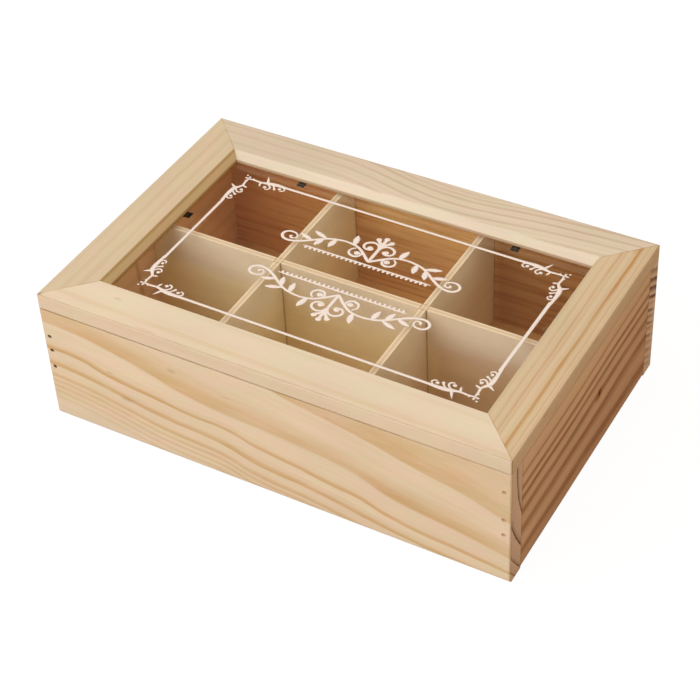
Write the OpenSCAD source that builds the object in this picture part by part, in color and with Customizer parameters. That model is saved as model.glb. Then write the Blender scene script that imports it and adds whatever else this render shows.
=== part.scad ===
// Tea bag organizer box.
// A pine box of four nailed boards with a plywood bottom, three cross-lapped
// dividers that make six compartments, and a mitred, glazed lid on two butt hinges.
// Millimetres, +Z up, +X to the right along the front, +Y to the back.
// The origin is under the middle of the whole footprint, hinge barrels included.

/* [Box] */
// Outside width along the front
box_w = 240; // [210:1:320]
// Outside depth, front face to back face
box_d = 158.5; // [130:0.5:220]
// Height of the four boards
board_h = 65; // [57:0.5:90]
// Thickness of the four boards
board_t = 10; // [9:0.5:13]
// Radius of the upright outer corners
corner_r = 1.2; // [0.5:0.1:2]
// Radius of the outer edges that the box stands on
foot_r = 1.5; // [0.5:0.1:2]
// Radius of the edges on both sides of the seam between box and lid
seam_r = 0.5; // [0.2:0.1:0.8]

/* [Bottom] */
// Thickness of the plywood bottom
bottom_t = 3; // [2.5:0.5:5]
// Height of the bottom's underside above the table
bottom_up = 1; // [0.5:0.5:3]
// How far the bottom reaches into the boards
rebate_w = 5; // [4:0.5:6]
// Gap around the bottom in its rebate
bottom_gap = 0.3; // [0.1:0.1:0.6]

/* [Dividers] */
// Thickness of the dividers
divider_t = 3; // [2:0.5:4]
// Distance of the dividers' top edges below the rim of the box
divider_drop = 1; // [0.5:0.5:20]
// Distance between the two cross dividers, middle to middle
cross_pitch = 77; // [60:1:90]
// Depth of the grooves that hold the dividers' ends
groove_deep = 2; // [1:0.5:3]
// Gap at a divider's end and beside it, in a groove or a lap
divider_gap = 0.15; // [0.1:0.05:0.3]

/* [Lid] */
// Thickness of the lid's rails
rail_t = 8.1; // [8:0.1:12]
// Width of a rail's flat top, with its rounded outer edge
rail_top_w = 21; // [19:0.5:26]
// Plan width of the bevel between a rail's top and the glass
bevel_w = 3; // [2:0.2:6]
// Thickness of the lip that covers the edge of the glass
lip_t = 5.6; // [4.6:0.1:5.7]
// Upright edge left under the bevel
lip_edge = 0.6; // [0.3:0.1:1.2]
// How far the lip covers the rebate for the glass
lip_w = 5.2; // [4:0.2:7]
// Radius of the lid's outer top edges
rail_r = 1; // [0.5:0.1:3]
// Height of the open seam between box and lid
seam_gap = 0.3; // [0.2:0.1:0.6]

/* [Glass] */
// Thickness of the glass
glass_t = 1.8; // [1.5:0.1:1.9]
// Gap around the glass in its rebate
glass_gap = 0.5; // [0.2:0.1:1]
// Width of a glazing point
point_w = 4; // [3:0.5:6]
// Thickness of a glazing point
point_t = 0.4; // [0.3:0.1:0.5]
// How far a glazing point shows past the lip
point_show = 2.5; // [0.5:0.5:4]
// How far a glazing point is driven into the rail
point_deep = 5; // [3:0.5:7]
// Distance between the two glazing points on a long rail
point_pitch = 116; // [60:1:140]
// Distance of a short rail's glazing point from the rail's middle
point_shift = 9; // [0:1:30]

/* [Hinges] */
// Distance from an end of the box to the middle of a hinge
hinge_in = 45; // [36:1:70]
// Length of a hinge along its pin
hinge_l = 25; // [20:1:34]
// Width of a leaf on the wood
leaf_w = 7; // [6:0.5:8]
// Thickness of a leaf
leaf_t = 1; // [0.8:0.1:1.2]
// Radius of the barrel
barrel_r = 2; // [1.8:0.1:2.6]
// Gap between the barrel and the back of the box
barrel_gap = 0.3; // [0.2:0.1:0.6]
// Number of knuckles in a barrel, counted over both leaves
knuckles = 5; // [3:2:7]
// Gap between two knuckles
knuckle_gap = 0.15; // [0.1:0.05:0.3]
// Radius of the hinge pin
pin_r = 0.9; // [0.7:0.05:1.1]
// Radial clearance of the pin in the knuckles
pin_fit = 0.05; // [0.02:0.01:0.1]
// Gap between the barrel and the heads of the pin
pin_end = 0.1; // [0.05:0.05:0.3]
// Radius of the head on each end of the pin
pin_head_r = 1.4; // [1.2:0.1:1.7]
// Thickness of the head on each end of the pin
pin_head_t = 0.4; // [0.3:0.1:0.8]

/* [Screws] */
// Distance between the two screws in a leaf
screw_pitch = 15; // [10:0.5:18]
// Radius of a screw's shank
screw_r = 1; // [0.8:0.1:1.1]
// Radius of a screw's countersunk head
screw_head_r = 1.9; // [1.6:0.1:2.2]
// Length of the screws in the box
box_screw_l = 10; // [6:0.5:14]
// Length of the screws in the lid
lid_screw_l = 6; // [4:0.5:6.5]
// Width of the cross slot in a screw's head
slot_w = 0.5; // [0.3:0.1:0.7]
// Depth of the cross slot in a screw's head
slot_deep = 0.4; // [0.2:0.1:0.6]

/* [Nails] */
// Radius of a brad
brad_r = 0.6; // [0.4:0.05:0.8]
// Radius of a brad's head
brad_head_r = 0.95; // [0.85:0.05:1.2]
// Thickness of a brad's head
brad_head_t = 0.5; // [0.3:0.1:0.8]
// Depth of a brad's head below the wood's face
brad_sink = 0.3; // [0.1:0.1:0.6]
// Length of the brads in the corners of the box
corner_brad_l = 25; // [18:1:30]
// Distance of the corner brads from the box's side faces
corner_brad_in = 3.5; // [3:0.5:6]
// Heights of the three brads in each left corner
left_brad_z = [30.5, 40.5, 49]; // [20:0.5:54]
// Heights of the three brads in each right corner
right_brad_z = [28.5, 37.5, 54]; // [20:0.5:54]
// Length of the brads in the bottom
bottom_brad_l = 12; // [8:1:16]
// Distance between the bottom's brads along a long board
long_brad_pitch = 90; // [60:1:96]
// Distance between the bottom's brads along a short board
short_brad_pitch = 70; // [40:1:90]
// Length of each leg of a lid corner's V nail
v_nail_leg = 6; // [4:0.5:8]
// Height of a V nail
v_nail_h = 5; // [3:0.5:6]
// Thickness of a V nail
v_nail_t = 0.5; // [0.3:0.1:0.8]
// Distance of a V nail's inner faces from the lid's outer faces
v_nail_in = 13; // [10:0.5:14]
// Clearance of a screw, nail or glazing point in the wood
wood_fit = 0.05; // [0.02:0.01:0.1]

/* [Hidden] */
$fn = 48;
eps = 0.01;
over = 1;

// Box, worked out from the sizes above
hinge_out = barrel_gap + 2 * barrel_r;
front_y = -(box_d + hinge_out) / 2;
back_y = front_y + box_d;
mid_y = (front_y + back_y) / 2;
inner_w = box_w - 2 * board_t;
inner_d = box_d - 2 * board_t;
rebate_h = bottom_up + bottom_t;
divider_top = board_h - divider_drop;
divider_h = divider_top - rebate_h;
groove_w = divider_t + 2 * divider_gap;
cross_x = cross_pitch / 2;

// Lid, worked out from the sizes above
lid_z = board_h + seam_gap;
rail_w = rail_top_w + bevel_w;
glass_in = rail_w - lip_w;
glass_top = lid_z + rail_t - lip_t;
glass_z = glass_top - glass_t;

// Hinges, worked out from the sizes above
axis_y = back_y + barrel_gap + barrel_r;
axis_z = board_h + seam_gap / 2;
knuckle_pitch = (hinge_l + knuckle_gap) / knuckles;
knuckle_l = knuckle_pitch - knuckle_gap;
screw_y = back_y - leaf_w / 2;
screw_sink = screw_head_r - screw_r;
screw_tip = 2 * screw_r;

pine = "burlywood";
ply = "wheat";
steel = "dimgray";
brass = "goldenrod";

// ---- Placing ----

// Takes a piece drawn in front of the side's outer face, at y = 0, to that side of the box
module on_side(side) {
    if (side == "front") translate([0, front_y, 0]) children();
    if (side == "back") translate([0, back_y, 0]) rotate(180) children();
    if (side == "left") translate([-box_w / 2, mid_y, 0]) rotate(-90) children();
    if (side == "right") translate([box_w / 2, mid_y, 0]) rotate(90) children();
}

// Repeats a piece at both ends of a length, mirrored
module both_ends(length) {
    for (end = [-1, 1])
        translate([end * length / 2, 0, 0])
            mirror([end > 0 ? 1 : 0, 0, 0])
                children();
}

// Runs a profile, drawn as depth and height, along x
module run(length) {
    translate([-length / 2, 0, 0])
        rotate([90, 0, 90])
            linear_extrude(length)
                children();
}

// ---- Shapes that repeat ----

// What rounding the corner at the origin takes away
module corner_waste(r) {
    difference() {
        translate([-over, -over])
            square(r + over);
        translate([r, r])
            circle(r);
    }
}

// Rounds the upright edge at the outer corner of a board or rail
module upright_waste(z, height) {
    translate([0, 0, z - over])
        linear_extrude(height + 2 * over)
            corner_waste(corner_r);
}

// Brad driven in along +Z from a face at z = 0
module brad(length) {
    translate([0, 0, brad_sink]) {
        cylinder(r = brad_head_r, h = brad_head_t);
        cylinder(r = brad_r, h = length - brad_r);
    }
    translate([0, 0, brad_sink + length - brad_r])
        cylinder(r1 = brad_r, r2 = brad_r / 4, h = brad_r);
}

// Hole for a brad, open at the face
module brad_hole(length) {
    translate([0, 0, -over])
        cylinder(r = brad_head_r + wood_fit, h = brad_sink + brad_head_t + over);
    cylinder(r = brad_r + wood_fit, h = brad_sink + length + wood_fit);
}

// ---- Boards of the box ----

// Section of a board: outer face at 0, rounded foot and a slightly eased top edge
module board_profile() {
    difference() {
        square([board_t, board_h]);
        corner_waste(foot_r);
        translate([0, board_h])
            mirror([0, 1])
                corner_waste(seam_r);
    }
}

// Rebate for the bottom panel, along the board's lower inner edge
module rebate(length) {
    translate([-length / 2, board_t - rebate_w, -over])
        cube([length, rebate_w + over, rebate_h + over]);
}

// Groove for one end of a divider, down to the bottom panel
module divider_groove() {
    translate([-groove_w / 2, board_t - groove_deep, rebate_h])
        cube([groove_w, groove_deep + over, board_h]);
}

// Places of the corner brads on a long board seen from its outer face
module at_corner_brads(left_z, right_z) {
    for (z = left_z)
        translate([-box_w / 2 + corner_brad_in, 0, z])
            rotate([-90, 0, 0])
                children();
    for (z = right_z)
        translate([box_w / 2 - corner_brad_in, 0, z])
            rotate([-90, 0, 0])
                children();
}

// All corner brads of the box, or their holes
module at_all_corner_brads() {
    on_side("front") at_corner_brads(left_brad_z, right_brad_z) children();
    on_side("back") at_corner_brads(right_brad_z, left_brad_z) children();
}

// Places of the bottom's brads, which point up from the panel's underside
module at_bottom_brads() {
    long_in = board_t - rebate_w / 2;
    for (side = ["front", "back"])
        on_side(side)
            for (x = [-1, 0, 1])
                translate([x * long_brad_pitch, long_in, bottom_up])
                    children();
    for (side = ["left", "right"])
        on_side(side)
            for (x = [-1, 1])
                translate([x * short_brad_pitch / 2, long_in, bottom_up])
                    children();
}

// Front or back board, over the whole width, before its nail holes are made
module long_board() {
    difference() {
        run(box_w) board_profile();
        rebate(inner_w + 2 * rebate_w);
        both_ends(box_w)
            upright_waste(0, board_h);
        for (x = [-cross_x, cross_x])
            translate([x, 0, 0])
                divider_groove();
    }
}

// Left or right board, between the front and the back, before its nail holes are made
module short_board() {
    difference() {
        run(inner_d) board_profile();
        rebate(inner_d + 2 * over);
        divider_groove();
    }
}

// Holes for all the brads that are driven into the boards
module nail_holes() {
    at_all_corner_brads() brad_hole(corner_brad_l);
    at_bottom_brads() brad_hole(bottom_brad_l);
}

module front_board() {
    color(pine)
        difference() {
            on_side("front") long_board();
            nail_holes();
        }
}

module back_board() {
    color(pine)
        difference() {
            on_side("back") long_board();
            nail_holes();
            both_hinges() {
                box_mortise();
                at_leaf_screws() box_screw_seat() screw_hole(box_screw_l);
            }
        }
}

module left_board() {
    color(pine)
        difference() {
            on_side("left") short_board();
            nail_holes();
        }
}

module right_board() {
    color(pine)
        difference() {
            on_side("right") short_board();
            nail_holes();
        }
}

module bottom_panel() {
    panel_w = inner_w + 2 * (rebate_w - bottom_gap);
    panel_d = inner_d + 2 * (rebate_w - bottom_gap);
    color(ply)
        difference() {
            translate([-panel_w / 2, mid_y - panel_d / 2, bottom_up])
                cube([panel_w, panel_d, bottom_t]);
            at_bottom_brads() brad_hole(bottom_brad_l);
        }
}

module corner_brads() {
    color(steel) at_all_corner_brads() brad(corner_brad_l);
}

module bottom_brads() {
    color(steel) at_bottom_brads() brad(bottom_brad_l);
}

// ---- Dividers ----

// Divider that stands on the bottom panel, centred on the origin, along x
module divider_blank(span) {
    length = span + 2 * (groove_deep - divider_gap);
    translate([-length / 2, -divider_t / 2, rebate_h])
        cube([length, divider_t, divider_h]);
}

// Slot of a cross lap, which takes the upper or the lower half of a divider's height
module lap_slot(upper) {
    lap_z = rebate_h + divider_h / 2;
    low = upper ? lap_z - divider_gap / 2 : rebate_h - over;
    high = upper ? divider_top + over : lap_z + divider_gap / 2;
    translate([-groove_w / 2, -divider_t, low])
        cube([groove_w, 2 * divider_t, high - low]);
}

module long_divider() {
    color(ply)
        translate([0, mid_y, 0])
            difference() {
                divider_blank(inner_w);
                for (x = [-cross_x, cross_x])
                    translate([x, 0, 0])
                        lap_slot(true);
            }
}

module cross_divider(x) {
    translate([x, mid_y, 0])
        rotate(90)
            difference() {
                divider_blank(inner_d);
                lap_slot(false);
            }
}

module left_cross_divider() {
    color(ply) cross_divider(-cross_x);
}

module right_cross_divider() {
    color(ply) cross_divider(cross_x);
}

// ---- Lid ----

// Section of a rail: outer face at 0, rounded outer top edge, bevel and lip over the glass
module rail_profile() {
    difference() {
        polygon([
            [0, 0],
            [glass_in, 0],
            [glass_in, rail_t - lip_t],
            [rail_w, rail_t - lip_t],
            [rail_w, rail_t - lip_t + lip_edge],
            [rail_top_w, rail_t],
            [0, rail_t]
        ]);
        corner_waste(seam_r);
        translate([0, rail_t])
            mirror([0, 1])
                corner_waste(rail_r);
    }
}

// Rail with mitred ends, before its holes are made
module rail(length) {
    difference() {
        intersection() {
            translate([0, 0, lid_z])
                run(length) rail_profile();
            translate([0, 0, lid_z - over])
                linear_extrude(rail_t + 2 * over)
                    polygon([
                        [-length / 2, 0],
                        [length / 2, 0],
                        [length / 2 - rail_w, rail_w],
                        [rail_w - length / 2, rail_w]
                    ]);
        }
        both_ends(length)
            upright_waste(lid_z, rail_t);
    }
}

// Outline of a V nail with its inner faces on the axes, grown by a clearance
module v_nail_plan(grow) {
    for (turn = [0, 1])
        mirror([turn, -turn])
            translate([-v_nail_leg - grow, -grow])
                square([v_nail_leg + v_nail_t + 2 * grow, v_nail_t + 2 * grow]);
}

// Repeats a piece drawn at the lid's back right corner at all four corners
module four_corners() {
    for (flip_x = [0, 1], flip_y = [0, 1])
        translate([0, mid_y, 0])
            mirror([flip_x, 0, 0])
                mirror([0, flip_y, 0])
                    translate([box_w / 2, box_d / 2, 0])
                        children();
}

// The four V nails, driven into the lid's mitres from below
module v_nails(grow) {
    four_corners()
        translate([-v_nail_in, -v_nail_in, lid_z - (grow > 0 ? over : 0)])
            linear_extrude(v_nail_h + (grow > 0 ? over + grow : 0))
                v_nail_plan(grow);
}

// One glazing point on the underside of the glass, its tip in the rail's wood
module point(grow) {
    half = point_w / 2 + grow;
    back = glass_in - point_deep - grow;
    front = rail_w + point_show;
    translate([0, 0, glass_z - point_t - grow])
        linear_extrude(point_t + (grow > 0 ? grow : 0))
            polygon([
                [-half, front],
                [-half, back + half],
                [0, back],
                [half, back + half],
                [half, front]
            ]);
}

// All glazing points, two on a long rail and one on a short rail, or their slots
module all_points(grow) {
    for (side = ["front", "back"], x = [-1, 1])
        on_side(side)
            translate([x * point_pitch / 2, 0, 0])
                point(grow);
    on_side("left") translate([-point_shift, 0, 0]) point(grow);
    on_side("right") translate([point_shift, 0, 0]) point(grow);
}

// What is cut into every rail
module rail_slots() {
    v_nails(wood_fit);
    all_points(wood_fit);
}

module lid_front_rail() {
    color(pine)
        difference() {
            on_side("front") rail(box_w);
            rail_slots();
        }
}

module lid_back_rail() {
    color(pine)
        difference() {
            on_side("back") rail(box_w);
            rail_slots();
            both_hinges() {
                lid_mortise();
                at_leaf_screws() lid_screw_seat() screw_hole(lid_screw_l);
            }
        }
}

module lid_left_rail() {
    color(pine)
        difference() {
            on_side("left") rail(box_d);
            rail_slots();
        }
}

module lid_right_rail() {
    color(pine)
        difference() {
            on_side("right") rail(box_d);
            rail_slots();
        }
}

module glass_pane() {
    pane_w = box_w - 2 * (glass_in + glass_gap);
    pane_d = box_d - 2 * (glass_in + glass_gap);
    color("lightcyan", 0.4)
        translate([-pane_w / 2, mid_y - pane_d / 2, glass_z])
            cube([pane_w, pane_d, glass_t]);
}

module glazing_points() {
    color(steel) all_points(0);
}

module lid_v_nails() {
    color(steel) v_nails(0);
}

// ---- Hinges ----

// Takes a piece of a hinge, drawn around x = 0, to the left or the right hinge
module at_hinge(end) {
    translate([end * (box_w / 2 - hinge_in), 0, 0])
        children();
}

module both_hinges() {
    for (end = [-1, 1])
        at_hinge(end) children();
}

// Places of the two screws in a leaf
module at_leaf_screws() {
    for (x = [-1, 1])
        translate([x * screw_pitch / 2, screw_y, 0])
            children();
}

// Cylinder along x on the hinge's axis
module on_axis(x, length, radius) {
    translate([x, axis_y, axis_z])
        rotate([0, 90, 0])
            cylinder(r = radius, h = length);
}

// Leaf whose plate lies from z upward, with every other knuckle, starting at the first one named
module leaf(first, z) {
    difference() {
        union() {
            translate([-hinge_l / 2, back_y - leaf_w, z])
                cube([hinge_l, leaf_w, leaf_t]);
            for (i = [first : 2 : knuckles - 1]) {
                x = i * knuckle_pitch - hinge_l / 2;
                on_axis(x, knuckle_l, barrel_r);
                translate([x, back_y - eps, z])
                    cube([knuckle_l, axis_y - back_y, leaf_t]);
            }
        }
        on_axis(-hinge_l / 2 - over, hinge_l + 2 * over, pin_r + pin_fit);
    }
}

// Countersunk screw down from z = 0, with a cross slot
module screw(length) {
    difference() {
        union() {
            translate([0, 0, -screw_sink])
                cylinder(r1 = screw_r, r2 = screw_head_r, h = screw_sink);
            translate([0, 0, screw_tip - length])
                cylinder(r = screw_r, h = length - screw_tip - screw_sink + eps);
            translate([0, 0, -length])
                cylinder(r1 = screw_r / 6, r2 = screw_r, h = screw_tip);
        }
        for (turn = [0, 90])
            rotate(turn)
                translate([-screw_r, -slot_w / 2, -slot_deep])
                    cube([2 * screw_r, slot_w, slot_deep + over]);
    }
}

// Countersunk hole for a screw, down from z = 0, through the leaf and into the wood
module screw_hole(length) {
    translate([0, 0, -screw_sink])
        cylinder(r1 = screw_r + wood_fit, r2 = screw_head_r + wood_fit, h = screw_sink);
    translate([0, 0, -length - wood_fit])
        cylinder(r = screw_r + wood_fit, h = length + wood_fit);
}

// Seat of the box leaf's screws, heads up at the rim of the box
module box_screw_seat() {
    translate([0, 0, board_h])
        children();
}

// Seat of the lid leaf's screws, heads down under the lid
module lid_screw_seat() {
    translate([0, 0, lid_z])
        rotate([180, 0, 0])
            children();
}

// Recess for a leaf, open to the back and to the seam
module mortise(z, height) {
    translate([-hinge_l / 2 - wood_fit, back_y - leaf_w - wood_fit, z])
        cube([hinge_l + 2 * wood_fit, leaf_w + wood_fit + over, height]);
}

module box_mortise() {
    mortise(board_h - leaf_t, leaf_t + over);
}

module lid_mortise() {
    mortise(lid_z - over, leaf_t + over);
}

module box_leaf() {
    difference() {
        leaf(0, board_h - leaf_t);
        at_leaf_screws() box_screw_seat() screw_hole(box_screw_l);
    }
}

module lid_leaf() {
    difference() {
        leaf(1, lid_z);
        at_leaf_screws() lid_screw_seat() screw_hole(lid_screw_l);
    }
}

// Pin through all knuckles, with a head on each end
module hinge_pin() {
    on_axis(-hinge_l / 2 - pin_end, hinge_l + 2 * pin_end, pin_r);
    for (x = [-hinge_l / 2 - pin_end - pin_head_t, hinge_l / 2 + pin_end])
        on_axis(x, pin_head_t, pin_head_r);
}

module left_hinge_box_leaf() {
    color(brass) at_hinge(-1) box_leaf();
}

module left_hinge_lid_leaf() {
    color(brass) at_hinge(-1) lid_leaf();
}

module left_hinge_pin() {
    color(brass) at_hinge(-1) hinge_pin();
}

module right_hinge_box_leaf() {
    color(brass) at_hinge(1) box_leaf();
}

module right_hinge_lid_leaf() {
    color(brass) at_hinge(1) lid_leaf();
}

module right_hinge_pin() {
    color(brass) at_hinge(1) hinge_pin();
}

module hinge_box_screws() {
    color(brass)
        both_hinges() at_leaf_screws() box_screw_seat() screw(box_screw_l);
}

module hinge_lid_screws() {
    color(brass)
        both_hinges() at_leaf_screws() lid_screw_seat() screw(lid_screw_l);
}

// ---- Drawing ----

front_board();
back_board();
left_board();
right_board();
bottom_panel();
long_divider();
left_cross_divider();
right_cross_divider();
corner_brads();
bottom_brads();
lid_front_rail();
lid_back_rail();
lid_left_rail();
lid_right_rail();
glass_pane();
glazing_points();
lid_v_nails();
left_hinge_box_leaf();
left_hinge_lid_leaf();
left_hinge_pin();
right_hinge_box_leaf();
right_hinge_lid_leaf();
right_hinge_pin();
hinge_box_screws();
hinge_lid_screws();
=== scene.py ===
"""Dresses the glass-lidded pine organizer box: wood, glass, metal and the printed border."""
import math

import bpy
from mathutils import Matrix, Vector


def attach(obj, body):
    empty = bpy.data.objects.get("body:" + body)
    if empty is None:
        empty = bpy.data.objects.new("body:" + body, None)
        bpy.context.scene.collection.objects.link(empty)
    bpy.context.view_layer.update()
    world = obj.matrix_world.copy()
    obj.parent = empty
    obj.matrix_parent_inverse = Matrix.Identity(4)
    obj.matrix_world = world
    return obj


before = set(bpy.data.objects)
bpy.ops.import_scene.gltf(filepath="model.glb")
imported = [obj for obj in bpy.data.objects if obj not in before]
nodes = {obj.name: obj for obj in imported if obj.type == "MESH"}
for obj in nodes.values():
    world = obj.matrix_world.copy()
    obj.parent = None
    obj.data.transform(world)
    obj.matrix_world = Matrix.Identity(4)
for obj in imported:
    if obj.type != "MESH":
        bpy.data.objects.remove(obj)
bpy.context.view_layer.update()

# sizes of the box, in mm in the shared frame
MM = 0.001
BOX_W = 240.0
BOX_D = 158.5
FRONT_Y = -81.4
BACK_Y = 77.1
MID_Y = -2.15
BOARD_T = 10.0
RAIL_W = 24.0
RIM_Z = 65.0
TOP_Z = 73.4
GLASS_TOP_Z = 67.8
DIVIDER_T = 3.0
CROSS_X = 38.5
JOINT_OFF = DIVIDER_T / 2 + 0.25


# ---------------------------------------------------------------- finish tools


class Finish:
    """One finish, built up from shader nodes on a Principled skin."""

    def __init__(self, name):
        self.material = bpy.data.materials.new(name)
        self.material.use_nodes = True
        self.tree = self.material.node_tree
        self.skin = self.tree.nodes["Principled BSDF"]
        self.out = self.tree.nodes["Material Output"]
        place = self.add("ShaderNodeTexCoord")
        scale = self.add("ShaderNodeVectorMath", operation="SCALE")
        scale.inputs["Scale"].default_value = 1000.0
        self.join(place.outputs["Object"], scale.inputs[0])
        self.place = scale.outputs[0]
        self.facing = place.outputs["Normal"]

    def add(self, kind, **settings):
        node = self.tree.nodes.new(kind)
        for name, value in settings.items():
            setattr(node, name, value)
        return node

    def join(self, value, socket):
        """Links a socket, or writes a plain value."""
        if isinstance(value, bpy.types.NodeSocket):
            self.tree.links.new(value, socket)
        else:
            socket.default_value = value

    def reckon(self, operation, *values):
        node = self.add("ShaderNodeMath", operation=operation)
        for value, socket in zip(values, node.inputs):
            self.join(value, socket)
        return node.outputs[0]

    def plus(self, first, second):
        return self.reckon("ADD", first, second)

    def minus(self, first, second):
        return self.reckon("SUBTRACT", first, second)

    def times(self, first, second):
        return self.reckon("MULTIPLY", first, second)

    def over(self, first, second):
        return self.reckon("DIVIDE", first, second)

    def larger(self, first, second):
        return self.reckon("MAXIMUM", first, second)

    def smaller(self, first, second):
        return self.reckon("MINIMUM", first, second)

    def size(self, value):
        return self.reckon("ABSOLUTE", value)

    def parts(self, vector):
        node = self.add("ShaderNodeSeparateXYZ")
        self.join(vector, node.inputs[0])
        return node.outputs

    def point(self, x, y, z):
        node = self.add("ShaderNodeCombineXYZ")
        for value, socket in zip((x, y, z), node.inputs):
            self.join(value, socket)
        return node.outputs[0]

    def span(self, value, low, high, new_low=0.0, new_high=1.0, smooth=False):
        node = self.add("ShaderNodeMapRange")
        node.interpolation_type = "SMOOTHSTEP" if smooth else "LINEAR"
        for v, name in ((value, "Value"), (low, "From Min"), (high, "From Max"),
                        (new_low, "To Min"), (new_high, "To Max")):
            self.join(v, node.inputs[name])
        return node.outputs["Result"]

    def noise(self, vector, scale=1.0, detail=2.0, rough=0.5):
        node = self.add("ShaderNodeTexNoise")
        self.join(vector, node.inputs["Vector"])
        node.inputs["Scale"].default_value = scale
        node.inputs["Detail"].default_value = detail
        node.inputs["Roughness"].default_value = rough
        return node.outputs["Fac"]

    def guide(self, value, low, high, points, bottom, top):
        """A drawn curve: points are (where, height), smooth in between."""
        node = self.add("ShaderNodeFloatCurve")
        curve = node.mapping.curves[0]
        marks = [((a - low) / (high - low), (b - bottom) / (top - bottom)) for a, b in points]
        curve.points[0].location = marks[0]
        curve.points[1].location = marks[-1]
        for mark in marks[1:-1]:
            curve.points.new(*mark)
        node.mapping.update()
        self.join(self.span(value, low, high), node.inputs["Value"])
        return self.span(node.outputs[0], 0.0, 1.0, bottom, top)

    def steps(self, value, low, high, stops):
        """A drawn strength: stops are (where, strength), eased in between."""
        node = self.add("ShaderNodeValToRGB")
        ramp = node.color_ramp
        ramp.interpolation = "EASE"
        while len(ramp.elements) < len(stops):
            ramp.elements.new(1.0)
        for element, (where, strength) in zip(ramp.elements, stops):
            element.position = (where - low) / (high - low)
            element.color = (strength, strength, strength, 1.0)
        self.join(self.span(value, low, high), node.inputs[0])
        return node.outputs["Color"]

    def blend(self, share, first, second, kind="MIX"):
        node = self.add("ShaderNodeMix", data_type="RGBA", blend_type=kind)
        self.join(share, node.inputs["Factor"])
        for value, socket in ((first, node.inputs[6]), (second, node.inputs[7])):
            self.join(value, socket)
        return node.outputs[2]

    def spot(self, centre, reach, soft=0.5):
        """1 at a mark and 0 away from it; reach is its half size in mm each way."""
        off = self.add("ShaderNodeVectorMath", operation="SUBTRACT")
        self.join(self.place, off.inputs[0])
        off.inputs[1].default_value = centre
        share = self.add("ShaderNodeVectorMath", operation="DIVIDE")
        self.join(off.outputs[0], share.inputs[0])
        share.inputs[1].default_value = reach
        far = self.add("ShaderNodeVectorMath", operation="LENGTH")
        self.join(share.outputs[0], far.inputs[0])
        return self.span(far.outputs["Value"], 1.0 + soft, 1.0 - soft, smooth=True)

    def looks(self, axis, way):
        """1 on the faces that look along an axis, 0 on the others."""
        return self.span(self.times(self.parts(self.facing)[axis], way), 0.6, 0.9, smooth=True)

    def thread(self, value, centre, half, soft):
        """1 within half a line's width of its centre, fading out beyond."""
        off = self.size(self.minus(value, centre))
        return self.span(off, half + soft, half, smooth=True)

    def stain(self, colour, share, tint):
        return self.blend(share, colour, self.blend(1.0, colour, tint, "MULTIPLY"))

    def relief(self, height, depth_mm, strength=1.0):
        node = self.add("ShaderNodeBump")
        node.inputs["Strength"].default_value = strength
        node.inputs["Distance"].default_value = depth_mm * MM
        self.join(height, node.inputs["Height"])
        self.join(node.outputs[0], self.skin.inputs["Normal"])

    def wear_on(self, *names):
        for name in names:
            slots = nodes[name].data.materials
            slots.clear()
            slots.append(self.material)


def paint(red, green, blue):
    """A colour as seen on a screen, 0 to 255, as the shader wants it."""
    def bare(value):
        value /= 255.0
        return value / 12.92 if value <= 0.04045 else ((value + 0.055) / 1.055) ** 2.4
    return (bare(red), bare(green), bare(blue), 1.0)


# ------------------------------------------------------------------------ wood

END_PALE = paint(214, 188, 166)
END_DARK = paint(112, 79, 57)
BROWN = (0.42, 0.27, 0.17, 1.0)
SEAM = (0.34, 0.23, 0.14, 1.0)
RAW_WOOD_SHINE = 0.02


def edge_shade_and_wear(wood, x, y, colour):
    """Painted shade on the rounded outer edges, with a little handling wear: darker than the
    flats, so the lit arris shows no bright line.
    """
    reach = 3.0
    nx, ny, nz = (wood.size(part) for part in wood.parts(wood.facing))
    flat = wood.larger(wood.larger(nx, ny), nz)
    rim = wood.larger(wood.minus(wood.size(x), BOX_W / 2 - reach),
                      wood.minus(wood.size(wood.minus(y, MID_Y)), BOX_D / 2 - reach))
    share = wood.times(wood.span(flat, 0.985, 0.86), wood.span(rim, -0.3, 0.3))
    patchy = wood.span(wood.noise(wood.place, 0.12, 3.0), 0.3, 0.6, 0.65, 1.0)
    return wood.stain(colour, wood.times(share, patchy), (0.80, 0.77, 0.71, 1.0))


def seam_shadow(wood, x, z, colour):
    """The dark line between box and lid, fainter towards the right."""
    line = wood.thread(z, RIM_Z + 0.1, 0.22, 0.3)
    share = wood.span(x, -20.0, 110.0, 0.35, 0.0)
    broken = wood.span(wood.noise(wood.place, 0.09, 2.0), 0.3, 0.6, 0.7, 1.0)
    return wood.stain(colour, wood.times(line, wood.times(share, broken)), SEAM)


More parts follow.
